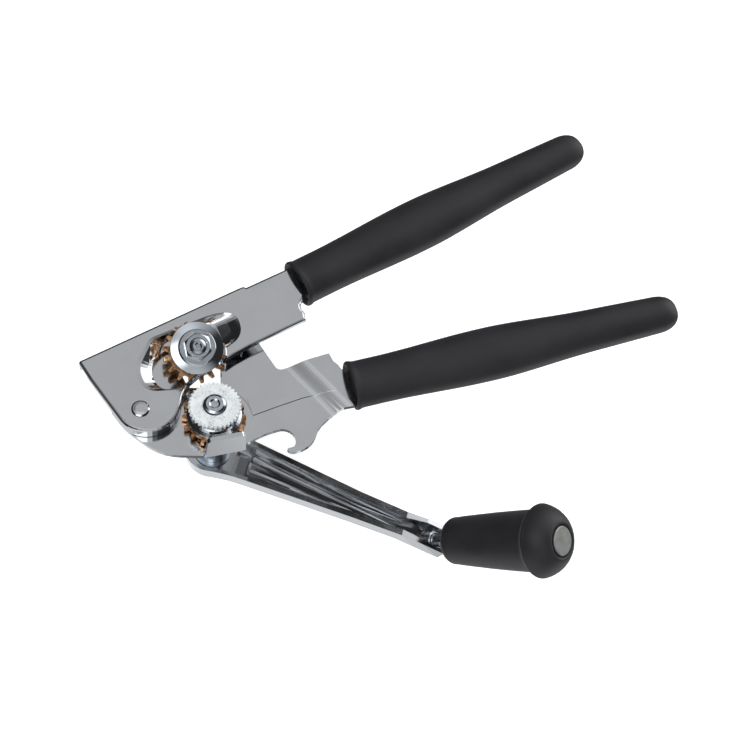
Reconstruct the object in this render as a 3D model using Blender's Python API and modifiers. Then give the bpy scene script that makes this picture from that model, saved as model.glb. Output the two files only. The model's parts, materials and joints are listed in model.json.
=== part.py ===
"""Manual can opener with a side crank, modelled as separate pieces on their joints.

Frame: +X runs towards the ends of the grips, +Y towards the upper handle and +Z out of
the plates on the side of the two wheels. The origin is the middle of the drive shaft's
front end. While the pieces are made, heights are counted from the front face of the
lower frame's plate, and main() lowers them all at the end. The handles stand open.
Lengths are in millimetres, and MM turns them into metres where geometry is made.
"""

import math

import bmesh
import bpy
from mathutils import Matrix, Vector

MM = 0.001
GAP = 0.3                      # clearance between neighbouring pieces

# plates
SHEET = 2.0
UPPER_FACE = 5.6               # front face of the upper frame
RIM_BACK = 0.35                # rear edge of the upper frame's turned-back rim
BEND = 1.5                     # outer radius of the pressed edges
NOSE = (-56.8, 25.3)           # upper frame's front corner
UPPER_ANGLE = 28.5             # direction of the upper frame's back edge
PIVOT = (-30.6, 2.4)
JOGGLE = 2.4                   # how far the lower frame steps forward at its handle
JOGGLE_WIDTH = 11.0

# grips
GRIP_MIDDLE = 3.0              # height of the grips' middle above the lower plate
UPPER_GRIP = (36.9, 65.6, 30.0)     # middle of the mouth, and direction
LOWER_GRIP = (57.8, 14.6, 14.6)
TANG = 92.0                    # length of a tang inside its grip

# gears and wheels
TEETH = 16
TIP_RADIUS = 13.4
ROOT_RADIUS = 10.7
CUTTER_GEAR_PHASE = 3.5        # puts the gears in mesh once the handles are closed
FEED_FRONT = 13.6
FEED_RADIUS = 11.1
FEED_TEETH = 36
SHAFT_RADIUS = 4.6
SHAFT_END = 14.1               # height of the drive shaft's front end

# cutter axis: through the gear's centre, leaning towards the feed wheel
CUTTER_CENTRE = (-8.23, 29.06, 6.3)
CUTTER_TILT = 22.0
CUTTER_LEAN = -77.3            # direction, in the plate's plane, in which the axis leans
CUTTER_RADIUS = 11.1
EDGE_HEIGHT = 12.8             # cutting edge above the gear's middle, along the axis
STUD_RADIUS = 3.3

# crank
HUB_FACE = -28.2               # front of the crank's web at the shaft
WEB = 1.8
HUB_RADIUS = 11.8
ARM_ANGLE = -16.9
ARM_SLOPE = 19.4               # the arm leans back, so that the knob clears the grips
ARM_BEND = (4.0, 16.0)         # the lean starts and is complete at these distances
ARM_LENGTH = 107.0
FLANGE = 7.8                   # height of the channel's sides over the web
FLARE = 2.0

# knob
KNOB_ANGLE = -25.0
KNOB_RISE = 42.0
KNOB_BASE = 12.0               # bottom of the knob above the web, along the pin
KNOB_LENGTH = 60.0
PIN_AT = (101.6, 0.6)          # along the arm, and to the side of its middle
PIN_RADIUS = 2.4


# ---------------------------------------------------------------- scene helpers

def clear_scene():
    for obj in list(bpy.data.objects):
        bpy.data.objects.remove(obj, do_unlink=True)


def make_collection(name):
    collection = bpy.data.collections.new(name)
    bpy.context.scene.collection.children.link(collection)
    return collection


def material(name, color, metallic, roughness):
    mat = bpy.data.materials.new(name)
    mat.use_nodes = True
    shader = mat.node_tree.nodes["Principled BSDF"]
    shader.inputs["Base Color"].default_value = (*color, 1.0)
    shader.inputs["Metallic"].default_value = metallic
    shader.inputs["Roughness"].default_value = roughness
    mat.diffuse_color = (*color, 1.0)
    return mat


def mesh_object(name, bm):
    """Closes a bmesh into a new object, with its faces pointing out."""
    bmesh.ops.recalc_face_normals(bm, faces=bm.faces)
    mesh = bpy.data.meshes.new(name)
    bm.to_mesh(mesh)
    bm.free()
    obj = bpy.data.objects.new(name, mesh)
    bpy.context.scene.collection.objects.link(obj)
    return obj


def evaluated_mesh(obj):
    bpy.context.view_layer.update()
    graph = bpy.context.evaluated_depsgraph_get()
    return bpy.data.meshes.new_from_object(obj.evaluated_get(graph))


def combine(target, tool, operation):
    """Joins or cuts target with tool, and removes tool."""
    modifier = target.modifiers.new(operation.lower(), "BOOLEAN")
    modifier.operation = operation
    modifier.solver = "EXACT"
    modifier.object = tool
    mesh = evaluated_mesh(target)
    target.modifiers.clear()
    target.data = mesh
    bpy.data.objects.remove(tool, do_unlink=True)
    return target


def join(target, tool):
    return combine(target, tool, "UNION")


def cut(target, tool):
    return combine(target, tool, "DIFFERENCE")


# ---------------------------------------------------------------- outline helpers

def turn(point, angle):
    c, s = math.cos(math.radians(angle)), math.sin(math.radians(angle))
    return (c * point[0] - s * point[1], s * point[0] + c * point[1])


def placed(points, origin, angle):
    """Moves local outline points to the plate's plane."""
    moved = []
    for point in points:
        x, y = turn(point, angle)
        moved.append((origin[0] + x, origin[1] + y))
    return moved


def arc(centre, radius, start, end, steps):
    points = []
    for i in range(steps + 1):
        angle = math.radians(start + (end - start) * i / steps)
        x, y = radius * math.cos(angle), radius * math.sin(angle)
        points.append((centre[0] + x, centre[1] + y))
    return points


def rounded(corners, steps=5):
    """An outline with a round at each corner (x, y, radius); radius 0 keeps it sharp."""
    points = []
    count = len(corners)
    for i, (x, y, radius) in enumerate(corners):
        here = Vector((x, y))
        if radius <= 0:
            points.append((x, y))
            continue
        back = Vector(corners[i - 1][:2]) - here
        ahead = Vector(corners[(i + 1) % count][:2]) - here
        half = back.angle(ahead) / 2
        reach = min(radius / math.tan(half), 0.49 * back.length, 0.49 * ahead.length)
        real = reach * math.tan(half)
        back, ahead = back.normalized(), ahead.normalized()
        middle = here + (back + ahead).normalized() * real / math.sin(half)
        first = here + back * reach - middle
        last = here + ahead * reach - middle
        sweep = first.angle_signed(last)
        for k in range(steps + 1):
            spoke = Vector(turn(first, -math.degrees(sweep) * k / steps))
            points.append(tuple(middle + spoke))
    return points


# ---------------------------------------------------------------- solid helpers

def prism(name, points, low, high, round_top=0.0):
    """A flat outline as a filled 2D curve, extruded from low to high and made a mesh."""
    curve = bpy.data.curves.new(name, "CURVE")
    curve.dimensions = "2D"
    curve.fill_mode = "BOTH"
    curve.extrude = (high - low) / 2 * MM
    spline = curve.splines.new("POLY")
    spline.points.add(len(points) - 1)
    for point, (x, y) in zip(spline.points, points):
        point.co = (x * MM, y * MM, 0, 1)
    spline.use_cyclic_u = True
    guide = bpy.data.objects.new(name, curve)
    bpy.context.scene.collection.objects.link(guide)
    mesh = evaluated_mesh(guide)
    bpy.data.objects.remove(guide, do_unlink=True)
    bm = bmesh.new()
    bm.from_mesh(mesh)
    bmesh.ops.remove_doubles(bm, verts=bm.verts, dist=1e-6)
    bmesh.ops.translate(bm, verts=bm.verts, vec=(0, 0, (high + low) / 2 * MM))
    if round_top > 0:
        round_front_edges(bm, high, round_top)
    return mesh_object(name, bm)


def round_front_edges(bm, height, radius):
    bmesh.ops.dissolve_limit(bm, angle_limit=0.001, verts=bm.verts, edges=bm.edges)
    edges = []
    for edge in bm.edges:
        level = all(abs(v.co.z - height * MM) < 1e-6 for v in edge.verts)
        if level and edge.calc_face_angle(0) > 1.0:
            edges.append(edge)
    bmesh.ops.bevel(bm, geom=edges, offset=radius * MM, segments=3, profile=0.5,
                    affect="EDGES", clamp_overlap=True)


def cylinder(name, radius, low, high, centre=(0, 0), sides=48):
    bm = bmesh.new()
    bmesh.ops.create_cone(bm, cap_ends=True, segments=sides, radius1=radius * MM,
                          radius2=radius * MM, depth=(high - low) * MM)
    shift = (centre[0] * MM, centre[1] * MM, (high + low) / 2 * MM)
    bmesh.ops.translate(bm, verts=bm.verts, vec=shift)
    return mesh_object(name, bm)


def turned(name, profile, steps=48):
    """A profile of (radius, height) points, outer side first and downwards, turned about Z.

    A profile that starts and ends on the axis is left open there; any other is a ring."""
    mesh = bpy.data.meshes.new(name)
    verts = [(r * MM, 0, z * MM) for r, z in profile]
    edges = [(i, i + 1) for i in range(len(verts) - 1)]
    if profile[0][0] > 0:
        edges.append((len(verts) - 1, 0))
    mesh.from_pydata(verts, edges, [])
    obj = bpy.data.objects.new(name, mesh)
    bpy.context.scene.collection.objects.link(obj)
    screw = obj.modifiers.new("turn", "SCREW")
    screw.steps = steps
    screw.render_steps = steps
    screw.use_merge_vertices = True
    screw.merge_threshold = 0.00001
    return obj


def ring(name, inner, outer, low, high, chamfer, steps=48):
    profile = [(outer - chamfer, high), (outer, high - chamfer), (outer, low + chamfer),
               (outer - chamfer, low), (inner, low), (inner, high)]
    return turned(name, profile, steps)


def loft(name, sections):
    """Closed solid through sections, which are equal lists of points in order round a loop."""
    bm = bmesh.new()
    rings = [[bm.verts.new([c * MM for c in p]) for p in section] for section in sections]
    for one, two in zip(rings, rings[1:]):
        for i in range(len(one)):
            j = (i + 1) % len(one)
            bm.faces.new((one[i], one[j], two[j], two[i]))
    bm.faces.new(rings[0])
    bm.faces.new(rings[-1])
    return mesh_object(name, bm)


def axis_matrix(origin, direction):
    """Local Z along direction, local X level, origin in millimetres."""
    z = Vector(direction).normalized()
    x = Vector((0, 0, 1)).cross(z)
    x = Vector((1, 0, 0)) if x.length < 1e-6 else x.normalized()
    y = z.cross(x)
    matrix = Matrix((x, y, z)).transposed().to_4x4()
    matrix.translation = Vector(origin) * MM
    return matrix


def direction(angle, rise):
    a, b = math.radians(angle), math.radians(rise)
    return Vector((math.cos(b) * math.cos(a), math.cos(b) * math.sin(a), math.sin(b)))


CUTTER_MATRIX = axis_matrix(CUTTER_CENTRE, direction(CUTTER_LEAN, 90.0 - CUTTER_TILT))


# ---------------------------------------------------------------- frames

LOBE = (16.1, -30.9)           # centre of the round end at the pivot, from the back edge
LOBE_RADIUS = 13.9
RIM_END = 80.6                 # where the back edge's rim ends
HANDLE = 101.5                 # where the tang starts


def upper_outline():
    """Plan of the upper frame, in its own directions: along the back edge, and across it."""
    points = [(0.0, -1.0), (0.3, -10.0), (1.8, -27.0)]
    points += arc(LOBE, LOBE_RADIUS, 190, 329, 16)
    points += arc((41.8, -46.3), 16.0, 145, 84, 9)
    points += [(52.0, -29.6), (60.0, -28.3), (68.0, -27.8), (93.5, -27.8)]
    points += arc((94.4, -26.6), 1.3, -80, 10, 3)
    points += arc((100.4, -22.4), 4.1, 205, 112, 6)
    points += [(HANDLE, -16.6), (HANDLE + TANG, -13.0), (HANDLE + TANG, -1.8), (HANDLE, -1.2)]
    points += [(RIM_END, -1.2), (79.8, -0.3), (78.8, 0.0), (0.9, 0.0), (0.2, -0.3)]
    return placed(points, NOSE, UPPER_ANGLE)


def upper_inside():
    """Plan of the space behind the sheet; it runs out where an edge has no rim."""
    far = HANDLE + TANG + 5
    points = [(-3.0, -1.9), (-3.0, -26.5), (4.5, -26.5)]
    points += arc(LOBE, LOBE_RADIUS - 1.9, 178, 325, 14)
    points += [(36.0, -46.0), (far, -46.0), (far, 4.0), (RIM_END, 4.0), (RIM_END, -1.9)]
    return placed(points, NOSE, UPPER_ANGLE)


def dish_outline(grow, slope):
    """Plan of the hollow round the cutter; slope draws in its two sloping ends."""
    left, right = 8.5 * slope, 9.0 * slope ** 1.6
    corners = [(-33.6 + left - grow, 22.0, 11.0),
               (-29.5 + 0.8 * left - grow, 10.5 + 0.35 * left - grow, 8.0),
               (-14.0, 11.6 + 0.1 * left - grow, 8.0),
               (3.5 - 0.2 * right + grow, 30.2 - grow, 12.0),
               (13.2 - right + grow, 38.2 - 0.4 * right, 9.0),
               (9.8 - right + grow, 50.1 - 0.5 * right + grow, 8.5),
               (0.0 - 0.4 * right, 49.0 - 0.2 * right + grow, 20.0),
               (-27.0 + 0.5 * left - grow, 36.6 + grow, 6.0)]
    return rounded(corners)


def dish(name, grow, levels):
    """Solid of the hollow: gentle slopes at its two ends, steep walls elsewhere."""
    sections = []
    for slope, inset, z in levels:
        plan = dish_outline(grow - inset, slope)
        sections.append([(x, y, z) for x, y in plan])
    return loft(name, sections)


def floor_window():
    """Opening in the hollow's floor, round all of the cutter's gear but its seat."""
    return arc((-14.5, 22.3), 11.6, 105, 285, 16) + arc((-9.0, 31.6), 8.0, 280, 160, 8)


def upper_frame():
    frame = prism("upper_frame", upper_outline(), RIM_BACK, UPPER_FACE, round_top=BEND)
    cut(frame, prism("inside", upper_inside(), -5, UPPER_FACE - SHEET))
    back = [(0.05, 0.0, 4.8), (0.25, 0.3, 3.3), (0.9, 0.9, 0.8), (1.0, 1.3, RIM_BACK + 0.05)]
    front = [(0.0, 0.0, 9.0), (0.0, 0.0, 5.5), (0.18, 0.5, 5.15), (0.55, 0.75, 4.0),
             (0.9, 0.9, 2.65), (1.0, 1.2, 2.3)]
    join(frame, dish("dish_back", 1.75, back))
    cut(frame, dish("dish_front", 0.0, front))
    cut(frame, prism("window", floor_window(), -2, UPPER_FACE - 1.0))
    boss = cylinder("boss", 4.7, -8.6, -2.2)
    boss.data.transform(CUTTER_MATRIX)
    join(frame, boss)
    room = cylinder("gear_room", TIP_RADIUS + 0.6, -1.25 - 0.6, 1.25 + 0.6)
    room.data.transform(CUTTER_MATRIX)
    cut(frame, room)
    hole = cylinder("stud_hole", STUD_RADIUS + GAP, -12, 0, sides=32)
    hole.data.transform(CUTTER_MATRIX)
    cut(frame, hole)
    cut(frame, cylinder("pivot_hole", 3.1, 0, 9, PIVOT, sides=32))
    return frame


def lower_outline():
    corners = [(-56.7, 26.6, 1.0), (-36.8, -4.3, 18.0), (-22.5, -16.4, 24.0), (-4.6, -16.9, 0)]
    points = rounded(corners)[:-1]
    points += [(-4.6, -16.9), (-4.2, -15.0), (-3.4, -14.8)]
    points += [(13.0, -11.2), (13.9, -10.6), (15.0, -10.3), (18.2, -8.2), (21.5, -6.6), (25.0, -5.3)]
    points += arc((28.6, -9.9), 5.5, 98, -28, 9)
    points += [(32.2, -13.0), (30.6, -13.5), (30.4, -14.1), (31.2, -14.9)]
    points += arc((31.7, -3.6), 11.7, -86, -14, 8)
    points += [(43.6, -4.9), (45.4, -2.3), (48.4, 0.7), (52.2, 3.6), (55.0, 4.9)]
    tang = [(-0.8, -9.3), (1.5, -8.6), (TANG, -6.8), (TANG, 6.8), (1.0, 8.6), (-0.8, 9.2)]
    points += placed(tang, LOWER_GRIP[:2], LOWER_GRIP[2])
    points += [(53.0, 25.8), (51.4, 27.3), (50.3, 29.6), (49.6, 31.2)]
    points += rounded([(49.6, 31.2, 0), (27.6, 23.9, 2.6), (19.6, 37.8, 0.8), (13.0, 46.5, 5.0),
                       (-14.0, 41.6, 6.0), (-56.7, 26.6, 0)], 4)[1:-1]
    return points


def lower_window():
    """Opening behind the cutter, wide enough for its boss over the handles' travel."""
    return rounded([(3.0, 15.5, 2.0), (3.0, 30.0, 6.0), (-3.0, 39.0, 5.0), (-15.0, 39.0, 4.0),
                    (-16.5, 28.0, 6.0), (-10.5, 15.5, 2.0)], 4)


def joggle(obj):
    """Steps the plate forward beyond a slanting bend, towards the handle."""
    start, end = Vector((30.0, 24.5)), Vector((48.7, 1.5))
    along = (end - start).normalized()
    across = Vector((-along.y, along.x))
    cuts = 12
    bm = bmesh.new()
    bm.from_mesh(obj.data)
    for i in range(cuts):
        spot = start + across * JOGGLE_WIDTH * i / (cuts - 1)
        geom = bm.verts[:] + bm.edges[:] + bm.faces[:]
        bmesh.ops.bisect_plane(bm, geom=geom, dist=1e-7, plane_co=(spot.x * MM, spot.y * MM, 0),
                               plane_no=(across.x, across.y, 0))
    for vert in bm.verts:
        distance = (Vector(vert.co.xy) / MM - start).dot(across)
        share = min(max(distance / JOGGLE_WIDTH, 0.0), 1.0)
        vert.co.z += JOGGLE * MM * math.sin(share * math.pi / 2) ** 2
    bm.to_mesh(obj.data)
    bm.free()


def lower_frame():
    frame = prism("lower_frame", lower_outline(), -SHEET, 0)
    band = [(16.4, 2.1), (27.0, 6.4), (37.7, 10.5), (45.0, 12.4), (52.2, 13.2)]
    band += [(50.9, 21.0), (42.0, 19.6), (33.6, 17.3), (24.0, 14.0), (13.9, 10.4)]
    join(frame, prism("band", band, -1.0, 0.4))
    cut(frame, prism("window", lower_window(), -6, 6))
    cut(frame, cylinder("recess", 16.2, -0.35, 3, sides=64))
    base, far = Vector((-3.9, -15.8)), Vector((13.0, -12.1))
    middle = (base + far) / 2
    slant = math.degrees(math.atan2(far.y - base.y, far.x - base.x))
    half = (far - base).length / 2
    lip = rounded([(-half, -SHEET, 0), (half, -SHEET, 0), (half - 0.6, 11.4, 1.6),
                   (-half + 0.9, 11.4, 1.6)])
    tab = prism("tab", lip, -SHEET / 2, SHEET / 2)
    tab.data.transform(Matrix.Rotation(math.radians(90), 4, "X"))
    tab.data.transform(Matrix.Rotation(math.radians(slant), 4, "Z"))
    tab.data.transform(Matrix.Translation((middle.x * MM, middle.y * MM, 0)))
    join(frame, tab)
    cut(frame, cylinder("pivot_hole", 3.1, -5, 5, PIVOT, sides=32))
    cut(frame, cylinder("shaft_hole", 6.2, -5, 5))
    joggle(frame)
    return frame


# ---------------------------------------------------------------- grips

# distance from the mouth, half width and half thickness
GRIP_SECTIONS = [(0.0, 10.1, 8.0), (0.6, 10.6, 8.4), (4, 10.5, 8.3), (14, 10.4, 8.2),
                 (30, 11.0, 8.3), (46, 11.8, 8.5), (62, 12.1, 8.6), (78, 11.9, 8.5), (94, 11.3, 8.3),
                 (110, 10.4, 8.0), (126, 9.4, 7.6), (140, 8.5, 7.2), (148, 7.9, 6.8),
                 (152.5, 6.9, 5.9), (155, 5.2, 4.3), (156, 2.4, 1.8)]


def grip(name, place, length, tang_low, tang_high):
    sides = 28
    sections = []
    for s, wide, thick in GRIP_SECTIONS:
        section = []
        for i in range(sides):
            angle = 2 * math.pi * i / sides
            c, d = math.cos(angle), math.sin(angle)
            y = wide * math.copysign(abs(c) ** 0.86, c)
            z = thick * math.copysign(abs(d) ** 0.86, d)
            x, y = placed([(s * length / 156.0, y)], place[:2], place[2])[0]
            section.append((x, y, GRIP_MIDDLE + z))
        sections.append(section)
    body = loft(name, sections)
    far = TANG + 0.8
    corners = [(-5, tang_low), (far, tang_low), (far, tang_high), (-5, tang_high)]
    slot = placed(corners, place[:2], place[2])
    return body, slot


def upper_grip():
    body, slot = grip("upper_grip", UPPER_GRIP, 156.0, -8.9, 8.6)
    return cut(body, prism("slot", slot, UPPER_FACE - SHEET - GAP, UPPER_FACE + GAP))


def lower_grip():
    body, slot = grip("lower_grip", LOWER_GRIP, 152.5, -9.3, 9.3)
    return cut(body, prism("slot", slot, JOGGLE - SHEET - GAP, JOGGLE + GAP))


# ---------------------------------------------------------------- pivot

def pivot_rivet():
    profile = [(0, 6.45), (2.0, 6.4), (3.2, 6.2), (3.8, 5.9), (2.8, 5.9), (2.8, -2.3), (4.6, -2.3),
               (4.4, -3.0), (3.0, -3.5), (0, -3.6)]
    rivet = turned("pivot_rivet", profile, 40)
    rivet.location = (PIVOT[0] * MM, PIVOT[1] * MM, 0)
    return rivet


def pivot_spacer():
    spacer = ring("pivot_spacer", 3.1, 6.4, GAP, UPPER_FACE - SHEET - GAP, 0.1, 40)
    spacer.location = (PIVOT[0] * MM, PIVOT[1] * MM, 0)
    return spacer


# ---------------------------------------------------------------- gears and feed stack

def toothed(teeth, tip, root, tip_share, root_share, phase):
    """Outline of straight-sided teeth; the shares are tooth widths as parts of the pitch."""
    points = []
    pitch = 360.0 / teeth
    for i in range(teeth):
        middle = phase + pitch * i
        flanks = ((root, -root_share), (tip, -tip_share), (tip, tip_share), (root, root_share))
        for radius, share in flanks:
            angle = math.radians(middle + share * pitch / 2)
            points.append((radius * math.cos(angle), radius * math.sin(angle)))
    return points


def feed_gear():
    gear = prism("feed_gear", toothed(TEETH, TIP_RADIUS, ROOT_RADIUS, 0.26, 0.56, 0.0), 0.65, 3.3)
    join(gear, cylinder("shoulder", 11.7, 2.0, 4.0))
    return cut(gear, cylinder("bore", SHAFT_RADIUS + GAP, -3, 9))


def feed_wheel():
    wheel = prism("feed_wheel", toothed(FEED_TEETH, FEED_RADIUS, FEED_RADIUS - 0.85, 0.22, 0.8, 2.0),
                  10.9, FEED_FRONT)
    return cut(wheel, cylinder("bore", SHAFT_RADIUS + GAP, 0, 20))


def feed_cup():
    profile = [(9.2, 8.3), (9.9, 7.9), (10.3, 6.6), (11.5, 5.7), (11.6, 4.6), (11.3, 4.3),
               (SHAFT_RADIUS + GAP, 4.3), (SHAFT_RADIUS + GAP, 8.3)]
    return turned("feed_cup", profile, 56)


def shaft_ring(name, outer, low, high):
    return ring(name, SHAFT_RADIUS + GAP, outer, low, high, 0.08)


def drive_shaft():
    low = HUB_FACE - WEB
    profile = [(0, SHAFT_END), (1.6, SHAFT_END), (2.3, SHAFT_END + 0.4), (3.6, SHAFT_END + 0.4),
               (SHAFT_RADIUS, SHAFT_END), (SHAFT_RADIUS, low - 0.9),
               (6.6, low - 0.9), (6.4, low - 1.8), (4.6, low - 2.6), (0, low - 2.6)]
    return turned("drive_shaft", profile)


def shaft_bushing():
    profile = [(5.9, -0.4), (5.9, -SHEET - GAP), (8.6, -SHEET - GAP), (8.6, -3.5), (6.1, -3.9),
               (6.1, HUB_FACE + 1.0), (4.9, HUB_FACE + 1.0), (4.9, -0.4)]
    return turned("shaft_bushing", profile)


# ---------------------------------------------------------------- cutter

def cutter_gear():
    outline = toothed(TEETH, TIP_RADIUS, ROOT_RADIUS, 0.26, 0.56, CUTTER_GEAR_PHASE)
    gear = prism("cutter_gear", outline, -1.25, 1.25)
    return cut(gear, cylinder("bore", STUD_RADIUS + GAP, -5, 5, sides=32))


def cutter_hub():
    top = EDGE_HEIGHT - 1.8
    profile = [(5.3, top), (5.5, top - 0.2), (5.6, 4.4), (7.2, 2.6), (7.4, 2.3), (7.4, 1.55),
               (STUD_RADIUS + GAP, 1.55), (STUD_RADIUS + GAP, top)]
    return turned("cutter_hub", profile, 40)


def cutter_wheel():
    edge = EDGE_HEIGHT
    profile = [(7.6, edge + 1.15), (7.9, edge + 1.0), (CUTTER_RADIUS, edge + 0.06),
               (CUTTER_RADIUS, edge - 0.06), (9.0, edge - 0.75), (6.6, edge - 1.5),
               (STUD_RADIUS + GAP, edge - 1.5), (STUD_RADIUS + GAP, edge + 1.15)]
    return turned("cutter_wheel", profile, 64)


def cutter_nut():
    low = EDGE_HEIGHT + 1.5
    nut = ring("cutter_nut", STUD_RADIUS, 7.7, low, low + 1.1, 0.25)
    nut.data = evaluated_mesh(nut)
    nut.modifiers.clear()
    hexagon = cylinder("hexagon", 6.0, low + 0.5, low + 3.7, sides=6)
    chamfer = turned("chamfer", [(0, low + 3.7), (4.9, low + 3.7), (6.1, low + 2.9), (6.1, low),
                                 (0, low)])
    combine(hexagon, chamfer, "INTERSECT")
    join(nut, hexagon)
    return cut(nut, cylinder("bore", STUD_RADIUS + GAP, low - 1, low + 6))


def spring_washer():
    return ring("cutter_spring_washer", STUD_RADIUS + GAP, 5.6, -1.98, -1.52, 0.08, 32)


def cutter_stud():
    top = EDGE_HEIGHT + 5.6
    profile = [(0, top - 0.5), (0.9, top - 0.5), (1.5, top), (2.3, top), (STUD_RADIUS, top - 0.5),
               (STUD_RADIUS, -8.9), (4.5, -8.9), (4.5, -9.8), (3.4, -10.6), (0, -10.6)]
    return turned("cutter_stud", profile, 40)


# ---------------------------------------------------------------- crank

def arm_path(s):
    """Drop of the web's front and its slope, at distance s from the shaft along the arm."""
    slope = math.tan(math.radians(ARM_SLOPE))
    start, end = ARM_BEND
    if s <= start:
        return 0.0, 0.0
    if s >= end:
        return slope * (s - (start + end) / 2), slope
    share = (s - start) / (end - start)
    return slope * share * (s - start) / 2, slope * share


def arm_edges(s, inset):
    """How far the web reaches to either side: round at the shaft, tapering, wider at the end."""
    radius = HUB_RADIUS - inset
    around = math.sqrt(max(radius * radius - s * s, 0.04))
    if s < 0:
        return around, around
    flare = max(0.0, s - 82.0)
    return 11.8 - 0.0875 * s - inset + 0.1 * flare, max(around, 5.4 - 0.037 * s - inset + 0.24 * flare)


def channel(name, inset, floor, rim, flare, extra):
    """Solid between two heights over the web's front, as wide as the web less inset."""
    radius = HUB_RADIUS - inset
    stations = [-radius * 0.9995 * math.cos(math.pi / 2 * i / 8) for i in range(8)]
    stations += [0, 4, 7, 9, 10.5, 12, 16, 40, 64, 86, 96, ARM_LENGTH + extra]
    sections = []
    for s in stations:
        drop, slope = arm_path(s)
        lean = math.atan(slope)
        right, left = arm_edges(s, inset)
        spread = flare * min(1.0, left / 3.0, 1.0 - (s - 86.0) / 30.0)
        level = rim - max(0.0, s - 90.0) * 0.16
        corners = []
        outline = ((-right, floor), (left, floor), (left + spread, level), (-right - spread, level))
        for side, height in outline:
            x, y = turn((s + math.sin(lean) * height, side), ARM_ANGLE)
            corners.append((x, y, HUB_FACE - drop + math.cos(lean) * height))
        sections.append(corners)
    return loft(name, sections)


def arm_rib():
    """Rounded rib in the web: a steep wide end near the shaft, running out to a point."""
    sections = []
    for s, wide, tall in ((17.0, 4.7, 0.6), (17.9, 4.6, 2.4), (30, 4.0, 2.5), (50, 2.8, 2.0),
                          (68, 1.7, 1.3), (84, 0.7, 0.5), (87, 0.3, 0.1)):
        drop = arm_path(s)[0]
        section = []
        for side, height in [(-wide, -0.7), (wide, -0.7)] + arc((0, 0), 1.0, 0, 180, 10):
            if height >= 0:
                side, height = side * wide, 0.02 + height * tall
            x, y = turn((s, side - 0.9), ARM_ANGLE)
            section.append((x, y, HUB_FACE - drop + height))
        sections.append(section)
    return loft("rib", sections)


def crank_arm():
    arm = channel("crank_arm", 0.0, -WEB, FLANGE, FLARE, 0.0)
    cut(arm, channel("hollow", WEB, 0.0, FLANGE + 8, FLARE * 2, 6.0))
    join(arm, arm_rib())
    seat = cylinder("seat", 4.6, -4.4, 2.6, sides=40)
    seat.data.transform(KNOB_MATRIX)
    join(arm, seat)
    cut(arm, cylinder("shaft_hole", SHAFT_RADIUS + GAP, HUB_FACE - 9, HUB_FACE + 9))
    hole = cylinder("pin_hole", PIN_RADIUS + GAP, -16, 14, sides=32)
    hole.data.transform(KNOB_MATRIX)
    return cut(arm, hole)


def pin_foot():
    x, y = turn(PIN_AT, ARM_ANGLE)
    return (x, y, HUB_FACE - arm_path(PIN_AT[0])[0])


KNOB_MATRIX = axis_matrix(pin_foot(), direction(KNOB_ANGLE, KNOB_RISE))


# ---------------------------------------------------------------- knob

def knob_grip():
    base = KNOB_BASE
    top = base + KNOB_LENGTH
    profile = [(6.9, top - 1.6), (7.4, top - 0.5), (8.6, top - 0.3), (11.8, top - 2.6),
               (14.4, top - 5.8), (15.7, top - 8.6), (16.0, top - 10.2), (15.6, top - 11.6),
               (14.3, top - 13.0), (13.6, top - 14.6), (12.2, base + 25), (10.8, base + 7),
               (10.0, base + 3.4), (8.4, base + 1.2), (6.2, base), (PIN_RADIUS + GAP, base),
               (PIN_RADIUS + GAP, top - 1.6)]
    return turned("knob_grip", profile, 48)


def knob_pin():
    top = KNOB_BASE + KNOB_LENGTH
    profile = [(0, top + 0.3), (5.9, top + 0.3), (6.3, top - 0.1), (6.3, top - 1.2), (PIN_RADIUS, top - 1.2),
               (PIN_RADIUS, -4.7), (4.2, -4.7), (3.9, -5.7), (2.6, -6.2), (0, -6.2)]
    return turned("knob_pin", profile, 40)


def knob_collar():
    return ring("knob_collar", PIN_RADIUS + GAP, 3.4, 2.9, KNOB_BASE - GAP, 0.2, 32)


# ---------------------------------------------------------------- assembly

def empty(name, matrix, collection, parent=None):
    obj = bpy.data.objects.new(name, None)
    obj.empty_display_size = 0.02
    collection.objects.link(obj)
    obj.matrix_world = matrix
    if parent:
        obj.parent = parent
        obj.matrix_parent_inverse = parent.matrix_world.inverted()
    bpy.context.view_layer.update()
    return obj


def smooth(obj):
    if obj.data.polygons:
        obj.data.shade_smooth()
        obj.data.set_sharp_from_angle(angle=math.radians(32))


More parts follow.
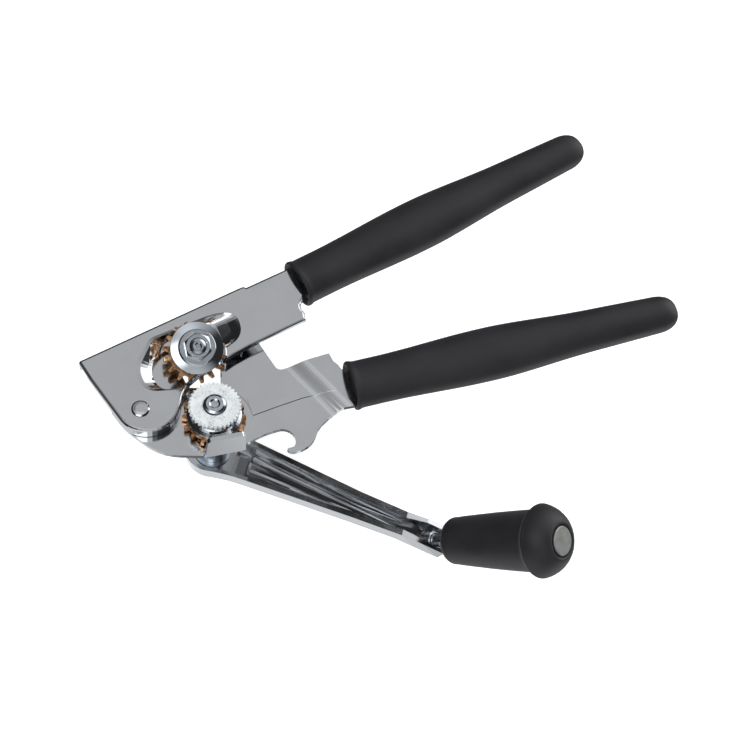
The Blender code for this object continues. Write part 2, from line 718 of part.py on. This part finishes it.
def main():
    clear_scene()
    collection = make_collection("can_opener")
    chrome = material("chrome", (0.80, 0.81, 0.83), 1.0, 0.10)
    steel = material("plated_steel", (0.62, 0.64, 0.66), 1.0, 0.25)
    zinc = material("sintered_zinc", (0.70, 0.71, 0.70), 1.0, 0.45)
    copper = material("copper_plate", (0.62, 0.34, 0.20), 1.0, 0.35)
    black = material("black_grip", (0.022, 0.022, 0.024), 0.0, 0.50)

    pivot = Matrix.Translation((PIVOT[0] * MM, PIVOT[1] * MM, 0))
    handle = empty("handle_pivot_axis", pivot, collection)
    crank = empty("crank_axis", Matrix.Identity(4), collection)
    cutter = empty("cutter_axis", CUTTER_MATRIX, collection, handle)
    knob = empty("knob_axis", KNOB_MATRIX, collection, crank)

    def add(obj, mat, parent=None, local=False):
        obj.data.materials.clear()
        obj.data.materials.append(mat)
        smooth(obj)
        for other in list(obj.users_collection):
            other.objects.unlink(obj)
        collection.objects.link(obj)
        if parent:
            obj.parent = parent
            if not local:
                obj.matrix_parent_inverse = parent.matrix_world.inverted()

    # lower handle
    add(lower_frame(), chrome)
    add(lower_grip(), black)
    add(pivot_rivet(), steel)
    add(pivot_spacer(), steel)
    add(shaft_bushing(), steel)

    # upper handle
    add(upper_frame(), chrome, handle)
    add(upper_grip(), black, handle)
    add(cutter_stud(), steel, cutter, True)
    add(cutter_nut(), chrome, cutter, True)
    add(spring_washer(), steel, cutter, True)

    # cutter
    add(cutter_gear(), copper, cutter, True)
    add(cutter_hub(), steel, cutter, True)
    add(cutter_wheel(), chrome, cutter, True)

    # crank
    add(drive_shaft(), steel, crank)
    add(feed_wheel(), zinc, crank)
    add(shaft_ring("feed_spacer", 7.4, 8.6, 10.6), steel, crank)
    add(feed_cup(), steel, crank)
    add(feed_gear(), copper, crank)
    add(shaft_ring("thrust_washer", 8.4, -0.1, 0.4), steel, crank)
    add(shaft_ring("hub_washer", 8.0, HUB_FACE + GAP, HUB_FACE + 0.8), steel, crank)
    add(crank_arm(), chrome, crank)
    add(shaft_ring("rear_washer", 7.6, HUB_FACE - WEB - 0.7, HUB_FACE - WEB - 0.2), steel, crank)
    add(knob_pin(), steel, knob, True)
    add(knob_collar(), steel, knob, True)

    # knob
    add(knob_grip(), black, knob, True)

    for obj in collection.objects:
        if obj.parent is None:
            obj.location.z -= SHAFT_END * MM


main()
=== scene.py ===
"""Looks for the manual can opener: materials, detailed pieces, light and camera.

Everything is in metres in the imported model's frame: the origin is the front end of the
drive shaft, +X runs to the ends of the grips and +Z out of the plates towards the wheels.
"""

import json
import math

import bmesh
import bpy
from mathutils import Matrix, Vector

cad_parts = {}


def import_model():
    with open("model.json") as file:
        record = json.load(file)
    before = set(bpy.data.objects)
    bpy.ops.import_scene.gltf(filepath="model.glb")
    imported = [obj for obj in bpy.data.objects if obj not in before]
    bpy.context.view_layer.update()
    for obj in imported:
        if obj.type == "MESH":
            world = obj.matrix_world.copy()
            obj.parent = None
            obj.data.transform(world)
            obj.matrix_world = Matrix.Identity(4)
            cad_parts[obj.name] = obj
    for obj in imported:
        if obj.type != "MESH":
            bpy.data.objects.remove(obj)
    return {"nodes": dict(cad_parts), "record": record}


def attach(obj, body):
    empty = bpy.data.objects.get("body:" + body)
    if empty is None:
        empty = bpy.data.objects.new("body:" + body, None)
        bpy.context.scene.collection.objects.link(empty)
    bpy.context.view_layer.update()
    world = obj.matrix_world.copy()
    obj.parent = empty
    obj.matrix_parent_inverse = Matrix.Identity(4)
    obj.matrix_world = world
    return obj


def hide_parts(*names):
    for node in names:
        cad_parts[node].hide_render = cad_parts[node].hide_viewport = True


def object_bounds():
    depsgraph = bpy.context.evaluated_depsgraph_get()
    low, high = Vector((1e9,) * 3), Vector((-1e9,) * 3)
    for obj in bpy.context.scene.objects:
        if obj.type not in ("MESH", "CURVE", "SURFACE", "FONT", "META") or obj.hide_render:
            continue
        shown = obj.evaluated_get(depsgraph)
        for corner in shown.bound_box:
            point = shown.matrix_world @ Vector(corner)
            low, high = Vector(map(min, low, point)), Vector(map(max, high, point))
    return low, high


MM = 0.001
PLATE = -14.1                  # front face of the lower frame's plate, in millimetres

# camera: where it stands and its own axes, in the row frame
CAMERA_AT = (-0.0194, -0.3618, 0.6599)
CAMERA_RIGHT = (0.9935, -0.0562, 0.0987)
CAMERA_UP = (0.0, 0.8691, 0.4946)
CAMERA_LENS = 87.1

AMBIENT = 0.02                 # strength of the surround away from its bright patches

# bright patches of the surround: direction, cosines where it starts and is full, strength
PATCHES = [
    ((-0.12, -0.05, 0.99), 0.88, 0.99, 0.52),   # overhead
    ((0.11, 0.49, 0.865), 0.84, 0.985, 0.46),   # what the flat plates mirror
    ((0.85, 0.42, 0.18), 0.85, 0.94, 1.5),      # right side, low
    ((0.10, -0.85, 0.52), 0.80, 0.97, 0.5),     # front
    ((0.60, -0.35, -0.72), 0.87, 0.945, 0.9),   # right, below the plates
    ((-0.30, -0.85, -0.42), 0.80, 0.96, 0.8),   # front, below the plates
    ((0.11, 0.49, -0.86), 0.85, 0.97, 0.33),    # below, mirrored twice
    ((-0.35, 0.05, -0.93), 0.78, 0.95, 0.7),    # left, below the plates
    ((0.60, 0.62, 0.50), 0.93, 0.98, 1.3),      # far right corner
    ((-0.20, -0.35, 0.91), 0.945, 0.985, 1.6),  # front, overhead
]

# lamps: name, place, diameter and power; both point at the handles' middle
LAMPS = [("key", (-0.25, -0.35, 0.9), 0.7, 5.5), ("fill", (0.7, 0.2, 0.7), 0.6, 3.0)]
LAMP_TARGET = (0.08, 0.03, 0)
FLOOR_DROP = 0.012             # from the object's lowest point down to the floor

# grips: middle of the mouth, direction in degrees, length
UPPER_GRIP = (36.9, 65.6, 30.0, 156.0)
LOWER_GRIP = (57.8, 14.6, 14.6, 152.5)
GRIP_HEIGHT = PLATE + 3.0

# knob: heights along its pin, counted from the place of the record's knob_spin joint
KNOB_BASE = 12.0
KNOB_LENGTH = 60.0
KNOB_HOLE = 2.7

# feed wheel and cutter wheel
FEED_TOP = -0.5                # height of the feed wheel's front face
FEED_BOTTOM = -3.2
FEED_RADIUS = 11.1
FEED_TEETH = 36
FEED_PHASE = 2.0               # degrees from +X to the first tooth
SHAFT_HOLE = 4.9
EDGE_HEIGHT = 12.8             # cutting edge above the cutter gear's middle
CUTTER_RADIUS = 11.1
STUD_HOLE = 3.6


# ---------------------------------------------------------------- materials

def new_material(name):
    mat = bpy.data.materials.new(name)
    mat.use_nodes = True
    return mat, mat.node_tree, mat.node_tree.nodes["Principled BSDF"]


def object_coords(tree, scale=(1, 1, 1), turn=0.0):
    """The piece's own coordinates, stretched and turned about Z."""
    coords = tree.nodes.new("ShaderNodeTexCoord")
    mapping = tree.nodes.new("ShaderNodeMapping")
    mapping.inputs["Scale"].default_value = scale
    mapping.inputs["Rotation"].default_value = (0, 0, math.radians(turn))
    tree.links.new(coords.outputs["Object"], mapping.inputs["Vector"])
    return mapping.outputs["Vector"]


def noise(tree, vector, scale, detail=4.0, rough=0.5):
    node = tree.nodes.new("ShaderNodeTexNoise")
    node.inputs["Scale"].default_value = scale
    node.inputs["Detail"].default_value = detail
    node.inputs["Roughness"].default_value = rough
    tree.links.new(vector, node.inputs["Vector"])
    return node.outputs["Fac"]


def ramp(tree, value, stops):
    """Colour ramp; each stop is (position, grey) or (position, (r, g, b))."""
    node = tree.nodes.new("ShaderNodeValToRGB")
    elements = node.color_ramp.elements
    while len(elements) < len(stops):
        elements.new(0.5)
    for element, (position, color) in zip(elements, stops):
        element.position = position
        rgb = (color, color, color) if isinstance(color, (int, float)) else color
        element.color = (*rgb, 1.0)
    tree.links.new(value, node.inputs["Fac"])
    return node.outputs["Color"]


def remap(tree, value, low, high, to_low, to_high):
    node = tree.nodes.new("ShaderNodeMapRange")
    node.inputs["From Min"].default_value = low
    node.inputs["From Max"].default_value = high
    node.inputs["To Min"].default_value = to_low
    node.inputs["To Max"].default_value = to_high
    tree.links.new(value, node.inputs["Value"])
    return node.outputs["Result"]


def combine(tree, operation, first, second):
    node = tree.nodes.new("ShaderNodeMath")
    node.operation = operation
    for socket, value in zip(node.inputs, (first, second)):
        if isinstance(value, (int, float)):
            socket.default_value = value
        else:
            tree.links.new(value, socket)
    return node.outputs["Value"]


def bump(tree, shader, height, strength, distance, below=None):
    node = tree.nodes.new("ShaderNodeBump")
    node.inputs["Strength"].default_value = strength
    node.inputs["Distance"].default_value = distance
    tree.links.new(height, node.inputs["Height"])
    if below is not None:
        tree.links.new(below, node.inputs["Normal"])
    tree.links.new(node.outputs["Normal"], shader.inputs["Normal"])
    return node.outputs["Normal"]


def scratches(tree, turn, scale, low, high):
    """Sparse fine lines in one direction, as 0 to 1."""
    lines = noise(tree, object_coords(tree, (0.035, 1.0, 1.0), turn), scale, 2.0, 0.6)
    return remap(tree, lines, low, high, 0.0, 1.0)


def chrome_material(name, tint, rough, turn):
    """Polished plating: a slight waviness, smudges in the gloss and hairline scratches."""
    mat, tree, shader = new_material(name)
    shader.inputs["Metallic"].default_value = 1.0
    cloud = noise(tree, object_coords(tree), 55.0, 5.0, 0.6)
    shade = ramp(tree, cloud, [(0.3, tuple(c * 0.93 for c in tint)), (0.7, tint)])
    tree.links.new(shade, shader.inputs["Base Color"])
    lines = scratches(tree, turn, 2600.0, 0.66, 0.78)
    gloss = combine(tree, "ADD", remap(tree, cloud, 0.3, 0.75, rough * 0.7, rough * 1.7),
                    combine(tree, "MULTIPLY", lines, 0.16))
    tree.links.new(gloss, shader.inputs["Roughness"])
    wave = bump(tree, shader, noise(tree, object_coords(tree), 26.0, 1.0, 0.4), 0.10, 0.0012)
    bump(tree, shader, lines, 0.06, 0.00004, wave)
    return mat


def steel_material(name, tint, rough):
    """Zinc-plated steel: faint cloudy colour, a little grain."""
    mat, tree, shader = new_material(name)
    shader.inputs["Metallic"].default_value = 1.0
    cloud = noise(tree, object_coords(tree), 320.0, 6.0, 0.6)
    shade = ramp(tree, cloud, [(0.25, tuple(c * 0.72 for c in tint)), (0.55, tint),
                               (0.8, (tint[0] * 1.02, tint[1] * 1.05, tint[2] * 1.1))])
    tree.links.new(shade, shader.inputs["Base Color"])
    tree.links.new(remap(tree, cloud, 0.25, 0.8, rough * 1.5, rough * 0.7), shader.inputs["Roughness"])
    bump(tree, shader, noise(tree, object_coords(tree), 2400.0, 3.0), 0.12, 0.00004)
    return mat


def zinc_material(name):
    """Sintered wheel: pale, matt and grainy, darker in its pits from painted shade, with patchy tone.
    """
    mat, tree, shader = new_material(name)
    shader.inputs["Metallic"].default_value = 0.15
    grain = noise(tree, object_coords(tree), 1500.0, 6.0, 0.65)
    patches = noise(tree, object_coords(tree), 260.0, 4.0, 0.6)
    # half of the colour follows the bump's grain, so painted shade darkens its pits; the other half is
    # random patchy tone
    both = combine(tree, "ADD", combine(tree, "MULTIPLY", grain, 0.5),
                   combine(tree, "MULTIPLY", patches, 0.5))
    shade = ramp(tree, both, [(0.34, (0.36, 0.38, 0.39)), (0.46, (0.74, 0.78, 0.79)),
                              (0.60, (0.90, 0.93, 0.94))])
    tree.links.new(shade, shader.inputs["Base Color"])
    tree.links.new(remap(tree, both, 0.3, 0.7, 0.62, 0.36), shader.inputs["Roughness"])
    bump(tree, shader, grain, 0.35, 0.0001)
    return mat


def copper_material(name):
    """Copper plate over steel, browned in the hollows."""
    mat, tree, shader = new_material(name)
    shader.inputs["Metallic"].default_value = 1.0
    cloud = noise(tree, object_coords(tree), 420.0, 5.0, 0.6)
    shade = ramp(tree, cloud, [(0.3, (0.12, 0.055, 0.025)), (0.47, (0.50, 0.26, 0.12)),
                               (0.64, (0.92, 0.60, 0.34))])
    tree.links.new(shade, shader.inputs["Base Color"])
    tree.links.new(remap(tree, cloud, 0.3, 0.7, 0.42, 0.2), shader.inputs["Roughness"])
    bump(tree, shader, noise(tree, object_coords(tree), 1800.0, 4.0), 0.2, 0.00008)
    return mat


def grip_material(name):
    """Soft black moulding: a very fine stipple, with paler rubbed patches."""
    mat, tree, shader = new_material(name)
    cloud = noise(tree, object_coords(tree), 60.0, 5.0, 0.6)
    shade = ramp(tree, cloud, [(0.3, (0.011, 0.0104, 0.0118)), (0.7, (0.018, 0.0172, 0.0192))])
    tree.links.new(shade, shader.inputs["Base Color"])
    tree.links.new(remap(tree, cloud, 0.3, 0.7, 0.46, 0.58), shader.inputs["Roughness"])
    shader.inputs["Specular IOR Level"].default_value = 0.6
    shader.inputs["Sheen Weight"].default_value = 0.06
    shader.inputs["Sheen Roughness"].default_value = 0.5
    shader.inputs["Sheen Tint"].default_value = (0.75, 0.72, 0.85, 1.0)
    bump(tree, shader, noise(tree, object_coords(tree), 2600.0, 3.0, 0.6), 0.22, 0.00006)
    return mat


# ---------------------------------------------------------------- geometry helpers

def mesh_piece(name, bm, mat, body, angle=35):
    bmesh.ops.recalc_face_normals(bm, faces=bm.faces)
    mesh = bpy.data.meshes.new(name)
    bm.to_mesh(mesh)
    bm.free()
    obj = bpy.data.objects.new(name, mesh)
    bpy.context.scene.collection.objects.link(obj)
    mesh.materials.append(mat)
    mesh.shade_smooth()
    mesh.set_sharp_from_angle(angle=math.radians(angle))
    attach(obj, body)
    return obj


def bevel(obj, width, segments=3, angle=30):
    weld = obj.modifiers.new("weld", "WELD")
    weld.merge_threshold = 0.000001
    modifier = obj.modifiers.new("edge", "BEVEL")
    modifier.width = width * MM
    modifier.segments = segments
    modifier.limit_method = "ANGLE"
    modifier.angle_limit = math.radians(angle)
    modifier.harden_normals = True
    return modifier


# ---------------------------------------------------------------- grips

def grip_half_sizes(t):
    """Half width and half thickness at a share t of the grip's length, in millimetres."""
    waist = 10.4 + 1.75 * math.sin(math.pi * min(max((t - 0.08) / 0.66, 0.0), 1.0)) ** 2
    taper = 1.0 - 0.235 * max(0.0, (t - 0.45) / 0.55) ** 1.35
    thick = 8.25 + 0.35 * math.sin(math.pi * min(max((t - 0.08) / 0.66, 0.0), 1.0)) ** 2
    return waist * taper, thick * (1.0 - 0.16 * max(0.0, (t - 0.45) / 0.55) ** 1.4)


def grip_piece(name, place, tang, mat, body):
    """Swelling grip with a rolled lip round its mouth, a recessed end and a rounded tip."""
    x0, y0, angle, length = place
    sides, tip = 80, 9.0
    rings = []
    for t, scale in ((2.2, 0.80), (0.7, 0.86), (0.15, 0.93), (0.0, 0.985), (0.25, 1.03), (0.9, 1.055),
                     (1.8, 1.045), (2.8, 1.01), (4.0, 1.0)):
        rings.append((t, scale))
    steps = 46
    for i in range(1, steps + 1):
        rings.append((4.0 + (length - tip - 4.0) * i / steps, 1.0))
    for i in range(1, 13):
        a = math.pi / 2 * i / 12
        rings.append((length - tip + tip * math.sin(a), max(math.cos(a) ** 0.62, 0.02)))
    bm = bmesh.new()
    loops = []
    c, s = math.cos(math.radians(angle)), math.sin(math.radians(angle))
    for along, scale in rings:
        wide, thick = grip_half_sizes(along / length)
        loop = []
        for i in range(sides):
            a = 2 * math.pi * i / sides
            across = wide * scale * math.copysign(abs(math.cos(a)) ** 0.9, math.cos(a))
            up = thick * scale * math.copysign(abs(math.sin(a)) ** 0.9, math.sin(a))
            point = (x0 + c * along - s * across, y0 + s * along + c * across, GRIP_HEIGHT + up)
            loop.append(bm.verts.new([v * MM for v in point]))
        loops.append(loop)
    for one, two in zip(loops, loops[1:]):
        for i in range(sides):
            j = (i + 1) % sides
            bm.faces.new((one[i], one[j], two[j], two[i]))
    bm.faces.new(loops[0])
    bm.faces.new(loops[-1])
    obj = mesh_piece(name, bm, mat, body, 60)
    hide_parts(tang)
    return obj


# ---------------------------------------------------------------- turned and toothed pieces

def axis_frame(foot, axis):
    """Local Z along axis and local X level, from a foot in metres."""
    z = Vector(axis).normalized()
    x = Vector((0, 0, 1)).cross(z)
    x = Vector((1, 0, 0)) if x.length < 1e-6 else x.normalized()
    matrix = Matrix((x, z.cross(x), z)).transposed().to_4x4()
    matrix.translation = foot
    return matrix


def round_arc(centre, radius, start, end, steps):
    """Profile points on an arc, in degrees; centre is (radius, height)."""
    points = []
    for i in range(steps + 1):
        angle = math.radians(start + (end - start) * i / steps)
        points.append((centre[0] + radius * math.cos(angle), centre[1] + radius * math.sin(angle)))
    return points


def turned_piece(name, profile, sides, place, mat, body, cad_node, shape=None, angle=35):
    """A closed profile of (radius, height) in millimetres, turned into a ring.

    shape(radius, height, angle) may move a point in or out, for teeth and flats."""
    bm = bmesh.new()
    loops = []
    for i in range(sides):
        a = 2 * math.pi * i / sides
        loop = []
        for radius, height in profile:
            r, z = shape(radius, height, a) if shape else (radius, height)
            point = Vector((r * math.cos(a) * MM, r * math.sin(a) * MM, z * MM))
            loop.append(bm.verts.new(place @ point))
        loops.append(loop)
    for i in range(sides):
        one, two = loops[i], loops[(i + 1) % sides]
        for k in range(len(profile)):
            j = (k + 1) % len(profile)
            bm.faces.new((one[k], one[j], two[j], two[k]))
    obj = mesh_piece(name, bm, mat, body, angle)
    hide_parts(cad_node)
    return obj


def knob_piece(place, mat):
    """Tapered sleeve with a crisp shoulder, a domed end and a recess round the rivet."""
    base, top = KNOB_BASE, KNOB_BASE + KNOB_LENGTH
    profile = [(7.1, top - 1.6), (7.1, top - 0.9)]
    profile += round_arc((7.9, top - 0.9), 0.8, 180, 75, 5)
    profile += [(9.3, top - 0.55), (10.7, top - 1.45), (12.0, top - 2.6), (13.2, top - 4.0),
                (14.2, top - 5.5), (15.0, top - 7.1), (15.6, top - 8.7)]
    profile += round_arc((15.1, top - 10.2), 0.9, 40, -60, 6)
    profile += [(14.6, top - 12.1), (13.9, top - 12.6), (13.6, top - 13.4), (13.5, top - 14.6),
                (12.9, base + 34), (12.3, base + 25), (11.4, base + 14), (10.8, base + 7),
                (10.5, base + 4.6)]
    profile += round_arc((7.1, base + 3.5), 3.4, 8, -85, 8)
    profile += [(KNOB_HOLE + 0.1, base), (KNOB_HOLE + 0.1, top - 1.6)]
    return turned_piece("knob_sleeve", profile, 128, place, mat, "knob", "knob_grip")


def feed_wheel_piece(mat):
    """Serrated wheel: chamfered teeth with rounded roots, and a shallow dished face."""
    high, low, outer = FEED_TOP, FEED_BOTTOM, FEED_RADIUS
    profile = [(SHAFT_HOLE + 0.5, high - 0.02), (9.3, high - 0.16), (outer - 0.55, high),
               (outer - 0.12, high - 0.22), (outer, high - 0.6), (outer, low + 0.6),
               (outer - 0.12, low + 0.22), (outer - 0.55, low), (SHAFT_HOLE + 0.4, low),
               (SHAFT_HOLE, low + 0.4), (SHAFT_HOLE, high - 0.4)]

    def teeth(radius, height, angle):
        share = (FEED_TEETH * (angle - math.radians(FEED_PHASE)) / (2 * math.pi)) % 1.0
        away = abs(share - 0.5) * 2.0
        notch = 0.0 if away > 0.86 else 0.92 * (1.0 - (away / 0.86) ** 1.5)
        reach = max(0.0, (radius - 9.8) / (outer - 9.8))
        return radius - notch * reach, height

    place = Matrix.Identity(4)
    return turned_piece("feed_wheel_serrated", profile, FEED_TEETH * 12, place, mat, "crank",
                        "feed_wheel", teeth, 28)


def cutter_wheel_piece(place, mat):
    """Hardened disc: a flat seat, a broad ground bevel and a thin edge with a back bevel."""
    edge = EDGE_HEIGHT
    profile = [(STUD_HOLE, edge + 1.12), (7.55, edge + 1.12), (7.75, edge + 1.02),
               (7.95, edge + 0.90), (8.15, edge + 0.86), (10.2, edge + 0.32),
               (CUTTER_RADIUS - 0.02, edge + 0.07), (CUTTER_RADIUS, edge),
               (CUTTER_RADIUS - 0.05, edge - 0.06), (9.0, edge - 0.75), (6.6, edge - 1.48),
               (STUD_HOLE, edge - 1.48)]
    return turned_piece("cutter_disc", profile, 160, place, mat, "cutter", "cutter_wheel",
                        None, 20)


# ---------------------------------------------------------------- light, floor and camera

def world_light():
    """Dark studio surround with soft bright patches, which the polished metal mirrors."""
    world = bpy.data.worlds.new("studio")
    bpy.context.scene.world = world
    world.use_nodes = True
    tree = world.node_tree
    background = tree.nodes["Background"]
    coords = tree.nodes.new("ShaderNodeTexCoord")
    total = None
    for direction, start, full, strength in PATCHES:
        dot = tree.nodes.new("ShaderNodeVectorMath")
        dot.operation = "DOT_PRODUCT"
        dot.inputs[1].default_value = Vector(direction).normalized()
        tree.links.new(coords.outputs["Generated"], dot.inputs[0])
        level = remap(tree, dot.outputs["Value"], start, full, 0.0, strength)
        total = level if total is None else combine(tree, "ADD", total, level)
    total = combine(tree, "ADD", total, AMBIENT)
    tree.links.new(total, background.inputs["Strength"])
    background.inputs["Color"].default_value = (0.97, 0.985, 1.0, 1.0)

    # the wall behind the object is plain and pale wherever it is looked at directly
    wall = tree.nodes.new("ShaderNodeBackground")
    wall.inputs["Color"].default_value = (0.90, 0.90, 0.90, 1.0)
    path = tree.nodes.new("ShaderNodeLightPath")
    mix = tree.nodes.new("ShaderNodeMixShader")
    tree.links.new(path.outputs["Is Camera Ray"], mix.inputs["Fac"])
    tree.links.new(background.outputs["Background"], mix.inputs[1])
    tree.links.new(wall.outputs["Background"], mix.inputs[2])
    tree.links.new(mix.outputs["Shader"], tree.nodes["World Output"].inputs["Surface"])


def area_light(name, place, target, size, power):
    """Soft lamp that lights the object but isn't mirrored in it."""
    data = bpy.data.lights.new(name, "AREA")
    data.shape = "DISK"
    data.size = size
    data.energy = power
    light = bpy.data.objects.new(name, data)
    bpy.context.scene.collection.objects.link(light)
    light.location = place
    light.visible_glossy = False
    light.rotation_euler = (Vector(target) - Vector(place)).to_track_quat("-Z", "Y").to_euler()


def floor(height):
    """Pale floor just under the object; polished parts mirror the surround, and not the floor."""
    bm = bmesh.new()
    bmesh.ops.create_grid(bm, x_segments=1, y_segments=1, size=6.0)
    mesh = bpy.data.meshes.new("floor")
    bm.to_mesh(mesh)
    bm.free()
    obj = bpy.data.objects.new("floor", mesh)
    bpy.context.scene.collection.objects.link(obj)
    obj.location.z = height
    mat, tree, shader = new_material("pale_floor")
    shader.inputs["Base Color"].default_value = (0.93, 0.93, 0.93, 1.0)
    shader.inputs["Roughness"].default_value = 0.9
    shader.inputs["Specular IOR Level"].default_value = 0.0
    shader.inputs["Emission Color"].default_value = (1.0, 1.0, 1.0, 1.0)
    shader.inputs["Emission Strength"].default_value = 0.62
    mesh.materials.append(mat)
    obj.visible_glossy = False


def camera():
    data = bpy.data.cameras.new("camera")
    data.sensor_width = 36.0
    data.lens = CAMERA_LENS
    data.clip_end = 20.0
    obj = bpy.data.objects.new("camera", data)
    bpy.context.scene.collection.objects.link(obj)
    right = Vector(CAMERA_RIGHT).normalized()
    up = Vector(CAMERA_UP).normalized()
    back = right.cross(up).normalized()
    up = back.cross(right)
    matrix = Matrix((right, up, back)).transposed().to_4x4()
    matrix.translation = CAMERA_AT
    obj.matrix_world = matrix
    bpy.context.scene.camera = obj


# ---------------------------------------------------------------- scene

def main():
    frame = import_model()
    cad_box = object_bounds()
    nodes = frame["nodes"]
    bpy.context.scene.view_settings.view_transform = "Standard"

    upper_chrome = chrome_material("upper_chrome", (0.80, 0.81, 0.83), 0.10, 28.5)
    lower_chrome = chrome_material("lower_chrome", (0.80, 0.81, 0.83), 0.11, 14.0)
    arm_chrome = chrome_material("arm_chrome", (0.78, 0.79, 0.81), 0.12, -17.0)
    bright = chrome_material("bright_plate", (0.80, 0.86, 0.92), 0.12, 60.0)
    steel = steel_material("plated_steel", (0.70, 0.75, 0.80), 0.16)
    worn = steel_material("worn_rivet", (0.56, 0.57, 0.54), 0.46)
    zinc = zinc_material("sintered_zinc")
    copper = copper_material("copper_plate")
    black = grip_material("soft_black")

    looks = {"upper_frame": upper_chrome, "lower_frame": lower_chrome, "crank_arm": arm_chrome,
             "cutter_wheel": bright, "cutter_nut": bright, "feed_wheel": zinc, "feed_gear": copper,
             "cutter_gear": copper, "knob_grip": black, "knob_pin": worn, "pivot_rivet": upper_chrome}
    for name, node in nodes.items():
        mat = looks.get(name, steel)
        node.data.materials.clear()
        node.data.materials.append(mat)

    grip_piece("upper_grip_sleeve", UPPER_GRIP, "upper_grip", black, "upper_handle")
    grip_piece("lower_grip_sleeve", LOWER_GRIP, "lower_grip", black, "frame")

    joints = frame["record"]["behaviour"]["joints"]
    axes = {joint["name"]: axis_frame(joint["pos_m"], joint["axis"]) for joint in joints}
    knob_piece(axes["knob_spin"], black)
    feed_wheel_piece(zinc)
    cutter_wheel_piece(axes["cutter_spin"], bright)
    for name, width in (("upper_frame", 0.25), ("lower_frame", 0.22), ("crank_arm", 0.55),
                        ("feed_gear", 0.16), ("cutter_gear", 0.16), ("cutter_nut", 0.22)):
        bevel(nodes[name], width)

    world_light()
    for name, place, size, power in LAMPS:
        area_light(name, place, LAMP_TARGET, size, power)
    floor(cad_box[0][2] - FLOOR_DROP)
    camera()


main()
